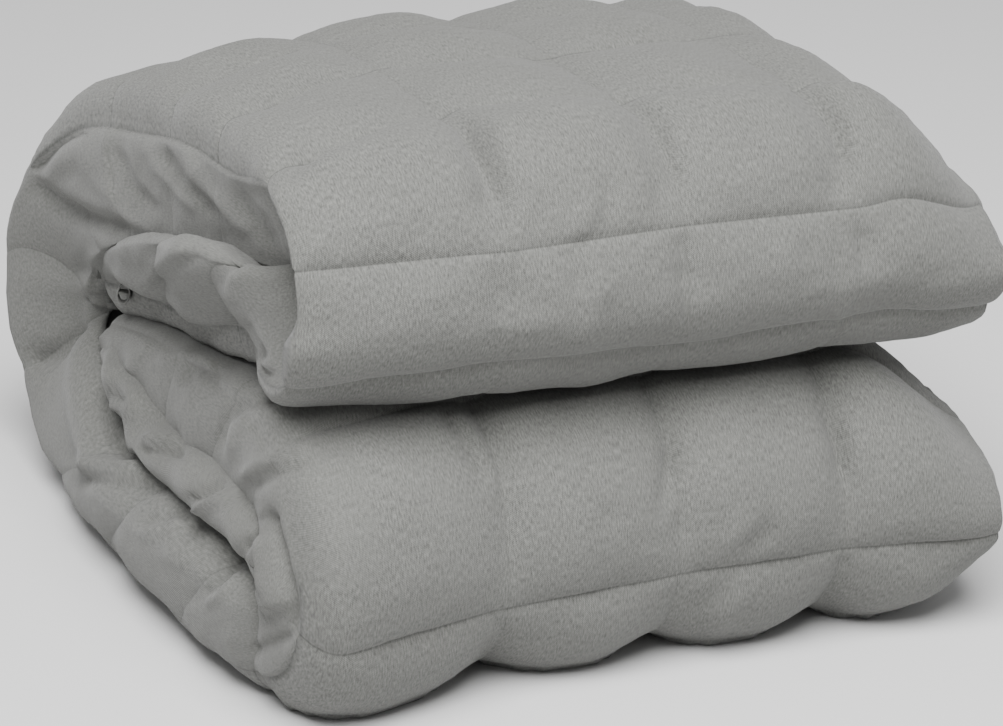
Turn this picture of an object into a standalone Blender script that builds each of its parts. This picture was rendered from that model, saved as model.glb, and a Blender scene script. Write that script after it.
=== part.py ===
"""A weighted blanket, quilted in squares and folded into a pack.

The blanket is first folded in half twice across its width, which makes a strip four squares wide.
Both ends of the strip are then turned in, and the strip is folded in half at the back of the pack,
so the side of the pack shows four layers of strip: a big C that opens at the front, whose two arms
end in closed front rolls, and the two turned-in ends that lie between the arms.

X runs along the front of the pack, Y from front to back, Z up. The origin is under the middle of
the pack, on the surface it rests on. Plain numbers in the tables are in quilting squares.
"""
import math
from collections import namedtuple

import bmesh
import bpy
import numpy as np

# ---- driving dimensions -----------------------------------------------------------------------------
SQUARE = 0.095             # pitch of the quilting seams, metres
HALF_COLUMNS = 2           # squares from the middle of the strip to its last seam on either side
PUFF = 0.07                # how far the middle of a square stands over its seams
RINGS_PER_SQUARE = 4       # sections along the strip for each square
MIDDLE = (-0.24, 2.127)      # (x, y) of the middle of the pack, from the middle of its first seam row
FIRST_ROW = (0.0, 2.50)    # (y, z) of the seam row on the upper front roll
END_BEGINS = 0.9           # |x| where the middle section starts to turn into the end section
RIGHT_SHARE = 0.4          # how much of the end section the right end takes on
RIGHT_DROP = 0.12          # share of its height that the pack loses at its right end
OUTLINE_LEFT = 2.2         # |x| of the left fold on the nominal outline of the strip
OUTLINE_RIGHT = 2.1        # |x| of the right fold on it
LEFT_TIP = -0.4            # n where the left fold reaches furthest, on the nominal outline
RIGHT_TIP = -0.3           # n where the right fold reaches furthest
LEFT_BEND = 1.8            # |x| where the outer face bends over into the left fold
RIGHT_BEND = 1.25          # |x| where it bends over into the right fold
RIGHT_INNER_BEND = 1.7     # |x| where the right fold comes back to the inner face
HEM_BEND = 1.9             # |x| where the left fold and the hem round off beside their gap
LEFT_HEM = 2.03            # |x| of the hem beside the left fold
HEM_LEVEL = -0.84          # n of the gap between the left fold and the hem
GAP = 0.04                 # width of that gap, in half thicknesses
PLY_DEPTH = 0.9            # |x| where the gap ends inside the strip
INNER_X = (1.6, 1.15)      # |x| of the points on the inner face and on the gap
RESTING_BAND = 0.03        # what lies lower than this rests flat on the surface
PILLOW_POWER = 2.2         # how flat the top of a quilted square is
QUILTED_FROM = (-1.3, -0.8)    # distances from the first seam row between which quilting fades in
RESTING_FROM = (8.3, 8.9)      # between which it fades out above the surface that carries the pack
RESTING_TO = (11.2, 11.6)      # between which it fades in again
QUILTED_TO = (12.8, 13.3)      # between which it fades out behind the lower roll
PILLOW_BEGINS = 0.55       # n where the outer face's quilting begins on the side folds
BLANKET_COLOUR = (0.305, 0.310, 0.296, 1.0)
TAPE_COLOUR = (0.330, 0.335, 0.320, 1.0)

# ---- the folded strip, seen from its end ----------------------------------------------------------
# One row for each section along the strip, from its upper hem to its lower hem.
# y, z, half: centre and half thickness in the middle of the pack.
# end_y, end_z, end_half: the same at its left and right ends. left, right: reach of the two ends.
# tip: where the left fold reaches furthest, from 1 on the outer face to -1 on the inner face.
Section = namedtuple("Section", "y z half end_y end_z end_half left right tip")
UPPER_RETURN = [
    Section(3.42, 1.74, 0.26, 3.56, 1.44, 0.13, 2.10, 2.00, -0.60),
    Section(2.70, 1.91, 0.31, 2.70, 1.70, 0.24, 2.12, 2.02, -0.60),
    Section(1.75, 2.00, 0.33, 1.75, 1.91, 0.30, 2.12, 2.04, -0.55),
    Section(1.00, 2.00, 0.335, 0.95, 2.045, 0.305, 2.14, 2.05, -0.50),
]
UPPER_RUN = [
    Section(1.00, 2.775, 0.335, 0.95, 2.70, 0.29, 2.16, 2.08, -0.65),
    Section(1.75, 2.77, 0.34, 1.75, 2.58, 0.33, 2.20, 2.10, -0.70),
    Section(2.70, 2.68, 0.34, 2.70, 2.36, 0.38, 2.26, 2.12, -0.70),
]
BACK = [
    Section(3.50, 2.44, 0.35, 3.45, 2.12, 0.44, 2.36, 2.12, -0.65),
    Section(4.12, 1.93, 0.37, 4.06, 1.70, 0.44, 2.42, 2.12, -0.50),
    Section(4.44, 1.24, 0.37, 4.42, 1.18, 0.42, 2.48, 2.12, -0.30),
    Section(4.18, 0.66, 0.38, 4.19, 0.65, 0.42, 2.52, 2.12, -0.10),
    Section(3.50, 0.40, 0.39, 3.50, 0.47, 0.46, 2.60, 2.12, 0.00),
]
LOWER_RUN = [
    Section(2.70, 0.385, 0.385, 2.70, 0.46, 0.45, 2.60, 2.12, 0.00),
    Section(1.75, 0.405, 0.405, 1.65, 0.44, 0.43, 2.58, 2.12, -0.10),
    Section(1.10, 0.41, 0.405, 0.80, 0.40, 0.38, 2.54, 2.12, -0.20),
]
LOWER_RETURN = [
    Section(1.10, 1.23, 0.37, 0.85, 1.25, 0.34, 2.30, 2.10, -0.50),
    Section(1.75, 1.23, 0.37, 1.70, 1.18, 0.27, 2.22, 2.08, -0.50),
    Section(2.70, 1.14, 0.35, 2.70, 1.11, 0.18, 2.18, 2.06, -0.50),
    Section(3.42, 1.09, 0.29, 3.50, 1.09, 0.09, 2.14, 2.02, -0.50),
]
# Front rolls: centre, radius of the strip's centre line and half thickness, in the middle of the
# pack and at its ends, the reach of the ends and the tip of the left fold.
Roll = namedtuple("Roll", "y z radius half end_y end_z end_radius end_half left right tip")
UPPER_ROLL = Roll(0.50, 2.3875, 0.3875, 0.335, 0.42, 2.37, 0.325, 0.285, 2.16, 2.06, -0.55)
LOWER_ROLL = Roll(0.60, 0.82, 0.41, 0.375, 0.16, 0.82, 0.42, 0.37, 2.46, 2.13, -0.30)
ROLL_STEPS = 4             # sections on a roll, between its two runs

# Sewn corner loop at the upper hem: a short ring of tape
LOOP_RADIUS = 0.0034       # half its width, metres
LOOP_STRETCH = 1.7         # its height over its width
LOOP_WIDTH = 0.007         # width of the tape, metres
LOOP_TAPE = 0.0010         # thickness of the tape, metres
LOOP_PLACE = (-2.088, 3.25, 1.423)    # middle of the ring, in squares from the first seam row
LOOP_LEAN = 8.0            # degrees about Y
LOOP_TURN = -22.0          # degrees about Z


# ---- smooth curves through the sections ------------------------------------------------------------
def roll_sections(roll, upwards):
    """Sections round the front of a roll, from its lower run to its upper one or back."""
    rows = []
    for step in range(1, ROLL_STEPS):
        angle = math.pi * step / ROLL_STEPS
        forward = math.sin(angle)
        down = math.cos(angle) * (1 if upwards else -1)
        rows.append(Section(roll.y - roll.radius * forward, roll.z - roll.radius * down, roll.half,
                            roll.end_y - roll.end_radius * forward,
                            roll.end_z - roll.end_radius * down, roll.end_half,
                            roll.left, roll.right, roll.tip))
    return rows


def strip_sections():
    rows = list(UPPER_RETURN)
    rows += roll_sections(UPPER_ROLL, upwards=True)
    rows += UPPER_RUN + BACK + LOWER_RUN
    rows += roll_sections(LOWER_ROLL, upwards=True)
    rows += LOWER_RETURN
    return np.array(rows)


def natural_spline(knots, values):
    """Second derivatives of the natural cubic spline through the rows of values."""
    count = len(knots)
    gaps = np.diff(knots)
    system = np.eye(count)
    right_side = np.zeros_like(values)
    for i in range(1, count - 1):
        system[i, i - 1:i + 2] = gaps[i - 1], 2 * (gaps[i - 1] + gaps[i]), gaps[i]
        slopes = (values[i + 1] - values[i]) / gaps[i] - (values[i] - values[i - 1]) / gaps[i - 1]
        right_side[i] = 6 * slopes
    return np.linalg.solve(system, right_side)


def sample_spline(knots, values, bends, at):
    """Values of the spline at the given parameters."""
    at = np.asarray(at)
    low = np.clip(np.searchsorted(knots, at) - 1, 0, len(knots) - 2)
    gap = (knots[low + 1] - knots[low])[:, None]
    a = (knots[low + 1] - at)[:, None] / gap
    b = 1 - a
    curve = ((a ** 3 - a) * bends[low] + (b ** 3 - b) * bends[low + 1]) * gap ** 2 / 6
    return a * values[low] + b * values[low + 1] + curve


class FoldedStrip:
    """The strip's sections, read at any distance along its outer face."""

    def __init__(self):
        self.rows = strip_sections()
        steps = np.hypot(np.diff(self.rows[:, 0]), np.diff(self.rows[:, 1]))
        self.knots = np.concatenate([[0.0], np.cumsum(steps)])
        self.bends = natural_spline(self.knots, self.rows)
        fine = np.linspace(0, self.knots[-1], 4000)
        centre, normal, half = self.frame(fine, 0.0)
        face = centre + normal * half[:, None]
        length = np.concatenate([[0.0], np.cumsum(np.hypot(*np.diff(face, axis=0).T))])
        first = np.argmin(np.hypot(*(face - FIRST_ROW).T))
        self.fine = fine
        self.face_length = length - length[first]

    def parameter(self, distance):
        """Spline parameter at a distance from the first seam row, along the outer face."""
        return np.interp(distance, self.face_length, self.fine)

    def frame(self, at, end_share):
        """Centre, outward normal and half thickness; end_share is 0 in the middle, 1 at an end."""
        step = 1e-3
        row = sample_spline(self.knots, self.rows, self.bends, at)
        ahead = sample_spline(self.knots, self.rows, self.bends, np.asarray(at) + step)
        behind = sample_spline(self.knots, self.rows, self.bends, np.asarray(at) - step)
        centre = row[:, 0:2] * (1 - end_share) + row[:, 3:5] * end_share
        run = (ahead - behind)[:, 0:2] * (1 - end_share) + (ahead - behind)[:, 3:5] * end_share
        run /= np.linalg.norm(run, axis=1)[:, None]
        normal = np.stack([-run[:, 1], run[:, 0]], axis=1)
        half = row[:, 2] * (1 - end_share) + row[:, 5] * end_share
        return centre, normal, half

    def side_shape(self, at):
        """Reach of the left end and of the right end, and tip of the left fold."""
        row = sample_spline(self.knots, self.rows, self.bends, at)
        return row[:, 6], row[:, 7], row[:, 8]


# ---- the outline of the strip, across its width -----------------------------------------------------
def turn(centre_x, depth, centre_n, height, start, end, steps):
    """Points of a rounded fold or hem, without its two ends."""
    points = []
    for step in range(1, steps):
        angle = math.radians(start + (end - start) * step / steps)
        points.append((centre_x + depth * math.sin(angle), centre_n + height * math.cos(angle)))
    return points


def strip_outline():
    """(x, n) round the strip: n is 1 on its outer face and -1 on its inner face.

    The left end shows a closed fold with the blanket's hem beside it, parted by a gap that runs
    into the strip, and the right end shows the fold that wraps all the plies.
    """
    step = 1.0 / RINGS_PER_SQUARE
    outline = [(-LEFT_BEND, 1.0)]
    outline += [(x, 1.0) for x in np.arange(-HALF_COLUMNS + step, RIGHT_BEND + step / 2, step)]
    outline += turn(RIGHT_BEND, OUTLINE_RIGHT - RIGHT_BEND, RIGHT_TIP, 1 - RIGHT_TIP, 0, 90, 6)
    outline += [(OUTLINE_RIGHT, RIGHT_TIP)]
    outline += turn(RIGHT_INNER_BEND, OUTLINE_RIGHT - RIGHT_INNER_BEND, RIGHT_TIP, 1 + RIGHT_TIP,
                    90, 180, 4)
    middle, edge = INNER_X[1], INNER_X[0]
    outline += [(x, -1.0) for x in (RIGHT_INNER_BEND, middle, 0.0, -middle, -edge, -HEM_BEND)]
    hem_middle = (HEM_LEVEL - 1) / 2
    outline += turn(-HEM_BEND, LEFT_HEM - HEM_BEND, hem_middle, hem_middle + 1 - GAP / 4,
                    180, 360, 4)
    outline += [(x, HEM_LEVEL - GAP / 2) for x in (-HEM_BEND, -edge, -middle)]
    outline += [(-PLY_DEPTH, HEM_LEVEL)]
    outline += [(x, HEM_LEVEL + GAP / 2) for x in (-middle, -edge, -HEM_BEND)]
    outline += turn(-HEM_BEND, OUTLINE_LEFT - HEM_BEND, LEFT_TIP, LEFT_TIP - HEM_LEVEL - GAP / 2,
                    180, 270, 3)
    outline += [(-OUTLINE_LEFT, LEFT_TIP)]
    outline += turn(-LEFT_BEND, OUTLINE_LEFT - LEFT_BEND, LEFT_TIP, 1 - LEFT_TIP, 270, 360, 5)
    return outline


def pillow(fraction):
    """Rise of a quilted square from seam (0) to seam (1)."""
    return 1 - abs(2 * fraction - 1) ** PILLOW_POWER


def quilting(x, distance, n):
    """Height of the quilting over the seams, for a point on the outer face."""
    share = max(n - PILLOW_BEGINS, 0.0) / (1 - PILLOW_BEGINS)
    return PUFF * share * pillow((x + HALF_COLUMNS) % 1.0) * pillow(distance % 1.0)


def smoothstep(low, high, value):
    share = min(max((value - low) / (high - low), 0.0), 1.0)
    return share * share * (3 - 2 * share)


def stretched(x, left, right):
    """The outline's x, with its last square drawn out to the section's own reach."""
    if x < -1:
        return -1 + (x + 1) * (left - 1) / (OUTLINE_LEFT - 1)
    if x > 1:
        return 1 + (x - 1) * (right - 1) / (OUTLINE_RIGHT - 1)
    return x


def tipped(x, n, tip):
    """The outline's n, with the left fold's furthest point moved to the section's own tip."""
    if x > 0 or n <= HEM_LEVEL:
        return n
    if n > LEFT_TIP:
        return 1 - (1 - n) * (1 - tip) / (1 - LEFT_TIP)
    return HEM_LEVEL + (n - HEM_LEVEL) * (tip - HEM_LEVEL) / (LEFT_TIP - HEM_LEVEL)


def strip_rings(strip):
    """One ring of world points for each section along the strip."""
    step = 1.0 / RINGS_PER_SQUARE
    first = math.ceil(strip.face_length[0] / step) * step
    last = math.floor(strip.face_length[-1] / step) * step
    distances = np.arange(first, last + step / 2, step)
    at = strip.parameter(distances)
    left, right, tip = strip.side_shape(at)
    columns = []
    for x, n in strip_outline():
        end_share = smoothstep(END_BEGINS, HALF_COLUMNS, abs(x)) * (1 if x < 0 else RIGHT_SHARE)
        centre, normal, half = strip.frame(at, end_share)
        level = tipped(x, n, tip)
        rise = np.array([quilting(x, d, n) * quilted_here(d) for d in distances])
        yz = centre + normal * (level * half + rise)[:, None]
        xs = np.array([stretched(x, a, b) for a, b in zip(left, right)])
        columns.append(np.column_stack([xs, yz]))
    rings = np.stack(columns, axis=1)
    drop = [smoothstep(END_BEGINS, HALF_COLUMNS, x) for x, n in strip_outline()]
    rings[:, :, 2] *= 1 - RIGHT_DROP * np.array(drop)
    rings[:, :, 0] -= MIDDLE[0]
    rings[:, :, 1] -= MIDDLE[1]
    rings[:, :, 2][rings[:, :, 2] < RESTING_BAND] = 0.0
    return rings * SQUARE


def quilted_here(distance):
    """Share of the quilting that stands up: none where the pack rests or is pressed together."""
    resting = smoothstep(*RESTING_FROM, distance) * (1 - smoothstep(*RESTING_TO, distance))
    return smoothstep(*QUILTED_FROM, distance) * (1 - resting) * (1 - smoothstep(*QUILTED_TO, distance))


# ---- meshes -----------------------------------------------------------------------------------------
def fabric(name, colour, roughness):
    material = bpy.data.materials.new(name)
    material.use_nodes = True
    shader = material.node_tree.nodes["Principled BSDF"]
    shader.inputs["Base Color"].default_value = colour
    shader.inputs["Roughness"].default_value = roughness
    shader.inputs["Metallic"].default_value = 0.0
    return material


def loft(rings, closed_path):
    """A closed body through rings of points, capped at both ends unless the rings meet."""
    body = bmesh.new()
    verts = [[body.verts.new(point) for point in ring] for ring in rings]
    pairs = list(zip(verts, verts[1:]))
    if closed_path:
        pairs.append((verts[-1], verts[0]))
    count = len(rings[0])
    for near, far in pairs:
        for i in range(count):
            j = (i + 1) % count
            body.faces.new((near[i], near[j], far[j], far[i]))
    if not closed_path:
        body.faces.new(list(reversed(verts[0])))
        body.faces.new(verts[-1])
    bmesh.ops.triangulate(body, faces=body.faces)
    bmesh.ops.recalc_face_normals(body, faces=body.faces)
    return body


def add_object(name, body, material, collection):
    mesh = bpy.data.meshes.new(name)
    body.to_mesh(mesh)
    body.free()
    mesh.materials.append(material)
    mesh.shade_smooth()
    mesh.set_sharp_from_angle(angle=math.radians(60))
    thing = bpy.data.objects.new(name, mesh)
    collection.objects.link(thing)
    return thing


def make_blanket(collection):
    rings = strip_rings(FoldedStrip())
    material = fabric("blanket fabric", BLANKET_COLOUR, 0.9)
    return add_object("blanket", loft(rings, closed_path=False), material, collection)


def make_corner_loop(collection):
    """A flattened ring of tape that stands up beside the hem, its hole towards the front."""
    rings = []
    steps = 20
    for i in range(steps):
        angle = 2 * math.pi * i / steps
        ring = []
        for radius, side in ((1, -1), (1, 1), (-1, 1), (-1, -1)):
            reach = LOOP_RADIUS + radius * LOOP_TAPE / 2
            ring.append((reach * math.cos(angle), side * LOOP_WIDTH / 2,
                         reach * math.sin(angle) * LOOP_STRETCH))
        rings.append(ring)
    material = fabric("loop tape", TAPE_COLOUR, 0.85)
    tape = add_object("corner_loop", loft(rings, closed_path=True), material, collection)
    x, y, z = LOOP_PLACE
    tape.location = ((x - MIDDLE[0]) * SQUARE, (y - MIDDLE[1]) * SQUARE, z * SQUARE)
    tape.rotation_euler = (0.0, math.radians(LOOP_LEAN), math.radians(LOOP_TURN))
    return tape


def main():
    for thing in list(bpy.data.objects):
        bpy.data.objects.remove(thing, do_unlink=True)
    collection = bpy.data.collections.new("folded weighted blanket")
    bpy.context.scene.collection.children.link(collection)
    make_blanket(collection)
    make_corner_loop(collection)


main()
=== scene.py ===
"""The looks of a folded weighted blanket, quilted in squares, in a light studio.

The blanket is one filled strip, four squares wide, that runs back and forth: its upper end lies
turned in under the upper run, the run bends round at the back into the lower run, and the lower end
is turned in above that. Lengths in the tables are in quilting squares, as in the part's own source,
and folds that were read from the photograph are in its pixels. Everything else is in metres.
"""
import math
from collections import namedtuple

import bpy
import numpy as np
from mathutils import Matrix, Vector


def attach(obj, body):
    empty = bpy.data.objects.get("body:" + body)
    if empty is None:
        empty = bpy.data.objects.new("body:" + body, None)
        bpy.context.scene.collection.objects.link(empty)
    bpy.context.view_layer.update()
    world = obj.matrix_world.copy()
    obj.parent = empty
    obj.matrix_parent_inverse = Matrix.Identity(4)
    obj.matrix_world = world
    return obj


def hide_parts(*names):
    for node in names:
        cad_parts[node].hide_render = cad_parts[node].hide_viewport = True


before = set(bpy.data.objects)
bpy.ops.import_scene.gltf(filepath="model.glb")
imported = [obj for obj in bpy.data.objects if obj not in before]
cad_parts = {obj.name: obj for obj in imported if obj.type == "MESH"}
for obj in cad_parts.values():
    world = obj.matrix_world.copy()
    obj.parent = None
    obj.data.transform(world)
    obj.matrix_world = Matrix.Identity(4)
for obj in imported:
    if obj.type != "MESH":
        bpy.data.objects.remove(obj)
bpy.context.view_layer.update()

# ---- the blanket's driving dimensions, as in its part --------------------------------------------
SQUARE = 0.095             # pitch of the quilting seams, metres
MIDDLE = np.array([-0.24, 2.127, 0.0])   # middle of the pack, from the middle of its first seam row
FIRST_ROW = (0.0, 2.50)    # (y, z) of the seam row on the upper front roll
LAST_COLUMN = 2            # |x| of the seams beside the two ends
END_BEGINS = 0.9           # |x| where the middle section starts to turn into the end section
RIGHT_SHARE = 0.4          # how much of the end section the right end takes on
RIGHT_DROP = 0.12          # share of its height that the pack loses at its right end
DROP_RUN = (1.2, 2.1)      # x over which it does
FURTHEST_BACK = 6          # seam row at the back, between the upper and the lower layers
UPPER_MIDDLE, LOWER_MIDDLE = 2.15, 0.55      # z of the middle of each there
UPPER_THINNING, LOWER_THINNING = 0.27, 0.35  # how much thinner each roll is at that end
THINNING_FADES = (2.2, 3.6)                  # y over which that fades out
LEFT_REACH = 2.05          # |x| of the left fold on the nominal outline
RIGHT_REACH = 2.1          # |x| of the right fold on it
FLOOR_PRESS = 0.03         # what lies lower than this rests flat on the surface

# ---- the camera, at the photograph's viewing angle -----------------------------------------------
PHOTO_WIDTH, PHOTO_HEIGHT = 1003, 726
CAMERA_PLACE = np.array([-0.8305, -2.0963, 0.9212])
CAMERA_YAW, CAMERA_PITCH = math.radians(-21.865), math.radians(-19.893)
CAMERA_LENS, CAMERA_SENSOR = 154.19, 36.0
PIXELS_PER_RADIAN = CAMERA_LENS / CAMERA_SENSOR * PHOTO_WIDTH

# One row for each section along the strip, from its upper hem to its lower hem.
# y, z, half: centre and half thickness in the middle of the pack. end_y, end_z, end_half: the same
# at its left and right ends. left, right: reach of the two ends. tip: where the left fold reaches
# furthest, from 1 on the outer face to -1 on the inner face. hem: how far the hem beside it reaches.
# seam, level: reach and level of the left seam column. sag: how far the fold hangs past the inner face.
# square: how upright the side stands below that seam column, and over 1 how far in it does.
FIELDS = "y z half end_y end_z end_half left right tip hem seam level sag square"
Section = namedtuple("Section", FIELDS)
UPPER_RETURN = [
    Section(3.42, 1.74, 0.26, 3.68, 1.34, 0.21, 2.10, 2.00, -0.55, 2.00, 2.08, -0.10, 0.25, 1.6),
    Section(2.70, 1.91, 0.31, 2.70, 1.63, 0.27, 2.10, 2.02, -0.55, 1.95, 2.02, 0.40, 0.38, 2.2),
    Section(1.75, 2.00, 0.33, 1.75, 1.86, 0.35, 2.10, 2.04, -0.50, 1.92, 2.00, 0.42, 0.42, 2.6),
    Section(1.00, 2.00, 0.335, 0.95, 2.025, 0.34, 2.08, 2.05, -0.50, 1.90, 2.01, 0.50, 0.45, 2.6),
]
UPPER_RUN = [
    Section(1.00, 2.775, 0.335, 0.95, 2.72, 0.31, 2.07, 2.06, -0.65, 1.88, 2.12, 0.32, 0.55, 0.9),
    Section(1.75, 2.77, 0.34, 1.75, 2.63, 0.35, 2.14, 2.10, -0.70, 1.90, 2.12, 0.35, 0.45, 0.8),
    Section(2.70, 2.68, 0.34, 2.70, 2.43, 0.41, 2.20, 2.12, -0.75, 1.92, 2.14, 0.35, 0.40, 0.6),
]
BACK = [
    Section(3.50, 2.44, 0.35, 3.50, 2.18, 0.46, 2.28, 2.12, -0.70, 1.98, 2.22, 0.45, 0.45, 0.5),
    Section(4.12, 1.93, 0.37, 4.12, 1.73, 0.47, 2.30, 2.12, -0.55, 2.00, 2.34, 0.60, 0.55, 0.2),
    Section(4.44, 1.24, 0.37, 4.42, 1.18, 0.44, 2.38, 2.12, -0.30, 2.05, 2.42, 0.70, 0.90, 0.0),
    Section(4.18, 0.66, 0.38, 4.17, 0.65, 0.43, 2.42, 2.12, -0.10, 2.05, 2.40, 0.70, 0.70, 0.0),
    Section(3.50, 0.40, 0.39, 3.50, 0.47, 0.46, 2.48, 2.12, 0.00, 2.02, 2.42, 0.70, 0.30, 0.0),
]
LOWER_RUN = [
    Section(2.70, 0.385, 0.385, 2.70, 0.46, 0.45, 2.51, 2.12, 0.00, 2.00, 2.44, 0.70, 0.00, 0.0),
    Section(1.75, 0.405, 0.405, 1.65, 0.47, 0.46, 2.49, 2.12, -0.10, 2.00, 2.42, 0.70, 0.00, 0.0),
    Section(1.10, 0.41, 0.405, 0.80, 0.455, 0.435, 2.42, 2.12, -0.20, 2.00, 2.36, 0.70, 0.00, 0.0),
]
LOWER_RETURN = [
    Section(1.10, 1.23, 0.37, 0.85, 1.285, 0.36, 2.22, 2.10, -0.45, 2.36, 2.14, 0.60, 0.15, 0.6),
    Section(1.75, 1.23, 0.37, 1.70, 1.18, 0.325, 2.20, 2.08, -0.45, 2.37, 2.10, 0.80, 0.25, 1.0),
    Section(2.70, 1.14, 0.35, 2.70, 1.12, 0.25, 2.20, 2.06, -0.45, 2.34, 2.10, 0.80, 0.25, 1.0),
    Section(3.42, 1.09, 0.29, 3.64, 1.03, 0.14, 2.16, 2.02, -0.45, 2.20, 2.08, 0.60, 0.10, 1.0),
]
# Front rolls: centre, radius of the strip's centre line and half thickness, in the middle of the
# pack and at its ends, then the reaches and levels as above.
ENDS = FIELDS.split("end_half ")[1]
Roll = namedtuple("Roll", "y z radius half end_y end_z end_radius end_half " + ENDS)
UPPER_ROLL = Roll(0.50, 2.3875, 0.3875, 0.335, 0.42, 2.385, 0.315, 0.29,
                  1.98, 2.01, -0.55, 1.85, 2.18, 0.90, 0.56, 0.8)
LOWER_ROLL = Roll(0.60, 0.81, 0.41, 0.375, 0.36, 0.83, 0.385, 0.425,
                  2.26, 2.05, -0.30, 2.28, 2.22, 0.50, 0.0, 0.0)
ROLL_STEPS = 4

# Where the seam rows cross the strip: distance of each row from the first one along the outer face.
# band: on the left fold, c0 to c4: on the seam columns from the left to the right.
SeamRow = namedtuple("SeamRow", "row band c0 c1 c2 c3 c4")
SEAM_ROWS = [
    SeamRow(-4, -4.16, -4.16, -4.16, -4.16, -4.16, -4.16),
    SeamRow(-3, -2.45, -3.40, -2.75, -2.75, -2.75, -2.75),
    SeamRow(-2, -1.60, -2.25, -1.70, -1.70, -1.70, -1.70),
    SeamRow(-1, -0.75, -0.80, -0.62, -0.70, -0.64, -0.62),
    SeamRow(0, 0.25, 0.14, 0.06, 0.08, 0.06, 0.51),
    SeamRow(1, 1.00, 0.93, 1.36, 1.20, 1.06, 1.15),
    SeamRow(2, 1.90, 1.86, 2.30, 2.16, 2.18, 2.15),
    SeamRow(3, 2.75, 2.65, 3.26, 3.12, 3.12, 3.12),
    SeamRow(4, 3.40, 3.72, 4.16, 4.08, 4.08, 4.08),
    SeamRow(5, 3.95, 5.15, 5.05, 5.04, 5.04, 5.04),
    SeamRow(6, 5.20, 6.10, 6.00, 6.00, 6.00, 6.00),
    SeamRow(7, 6.90, 6.92, 7.00, 7.00, 7.00, 7.00),
    SeamRow(8, 9.05, 7.95, 8.00, 8.00, 8.00, 8.00),
    SeamRow(9, 9.75, 9.15, 9.00, 9.00, 9.00, 9.00),
    SeamRow(10, 10.60, 10.20, 10.00, 10.00, 10.00, 10.00),
    SeamRow(11, 11.38, 10.98, 11.00, 11.00, 11.00, 11.00),
    SeamRow(12, 12.20, 12.02, 12.04, 12.09, 12.08, 12.12),
    SeamRow(13, 13.85, 13.38, 13.38, 13.38, 13.38, 13.38),
    SeamRow(14, 14.55, 14.20, 14.00, 14.00, 14.00, 14.00),
    SeamRow(15, 15.25, 15.05, 15.00, 15.00, 15.00, 15.00),
    SeamRow(16, 16.38, 16.38, 16.38, 16.38, 16.38, 16.38),
]
# The sewn corner loop at the upper hem: a short ring of tape, as in the part
LOOP_RADIUS, LOOP_STRETCH = 0.0034, 1.7      # half its width in metres, and its height over that
LOOP_WIDTH, LOOP_TAPE = 0.007, 0.0012        # width and thickness of the tape, metres
LOOP_TACK = 0.0006                           # height of the tack across it, over its middle
TACK_WIDTH, TACK_THICKNESS = 0.9, 1.5        # the tack's width and thickness, over the tape's
LOOP_PLACE = (-2.088, 3.25, 1.423)           # middle of the ring, in squares from the first seam row
LOOP_LEAN, LOOP_TURN = 8.0, -22.0            # degrees about Y and Z
# Where stations lie between two seams, as shares of a square: close together at the seams, and
# closest on the rows with the most folds
FINE = (0, 0.014, 0.035, 0.07, 0.105, 0.14, 0.175, 0.21, 0.245, 0.28, 0.315, 0.35, 0.385, 0.42,
        0.46, 0.5)
PLAIN = (0, 0.014, 0.05, 0.1, 0.15, 0.2, 0.25, 0.3, 0.35, 0.4, 0.45, 0.5)
COARSE = (0, 0.014, 0.05, 0.12, 0.22, 0.35, 0.5)
FINE_ROWS, COARSE_ROWS = (-4, -1, 0, 1, 11, 12, 15), (4, 5, 6, 7)
COLUMNS = (0, 0.014, 0.035, 0.07, 0.11, 0.155, 0.2, 0.245, 0.29, 0.335, 0.38, 0.42, 0.46, 0.5)
PUFF = 0.098               # rise of a square's middle over its seams, in squares
FOLD_PUFF = 0.6            # share of that on the left fold
FRONT_LESS = 0.15          # share that it is less by on the fronts of the rolls
UNDER_PUFF = 1.2           # how much more the squares bulge below the front rolls
UNDER_VALLEY = 0.25        # how deep the seam columns sink in there, over elsewhere
SOFT_ROWS, SOFT_COLUMNS = 0.3, 0.5       # share of the squares' rise that is the soft kind, each way
PUFF_ENDS = (0.4, 0.7)     # how far past the right seam column the squares run out, in squares
PUFF_BIAS = 0.42           # share of the rise by which the seams sink below the solid's surface
CORNER_LESS = 0.55         # share that they sink less by at the two corner columns
SEAM_WIDTH = 0.022         # half width of the groove that the stitches pull in, in squares
SEAM_DEPTH = 0.010         # its depth in squares, on the two front seams
ROW_GROOVE, COLUMN_GROOVE = 0.65, 0.6    # share of that depth on the other rows and on the columns
FRONT_GROOVE = 0.8         # share of the columns' grooves that is lost on the fronts of the rolls
FRONT_ROWS, CRISP_ROWS = (0, 12), 0.6    # the two front seams, and how many rows round them are crisp
UPPER_DENT, LOWER_DENT = 0.075, 0.034    # depth of the columns' dents above them, in squares
DENT_WIDTH = 0.075         # half width of those dents, in squares
# Stretches of rows or columns, soft at both ends: where each starts to rise and is full, then where
# it starts to fall and is over
UPPER_FRONT, LOWER_FRONT = (-1.6, -0.9, 0.75, 1.05), (11.0, 11.3, 13.3, 13.9)
BENEATH_ROWS = (-2.0, -1.7, -0.6, -0.3)      # the underside of the upper roll
RESTING_ROWS = (8.3, 8.9, 10.9, 11.1)        # what the pack rests on
SHOWN_ROWS = (-2.1, -1.5, 13.2, 13.8)        # where the squares puff out at all
CORNER_COLUMNS = (1.6, 1.95, 2.08, 2.4)      # round the left and the right seam column
DENT_ROWS = (0.0, 0.35, 0.75, 1.3)           # from a front seam on
UNDER_ROWS = ((11, 12), (-2, -1))            # the squares below the two front rolls
# Lumps of the filling: height and pitch in squares, and seed
LUMPS = ((0.006, 0.5, 5), (0.0025, 0.16, 6))


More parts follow.
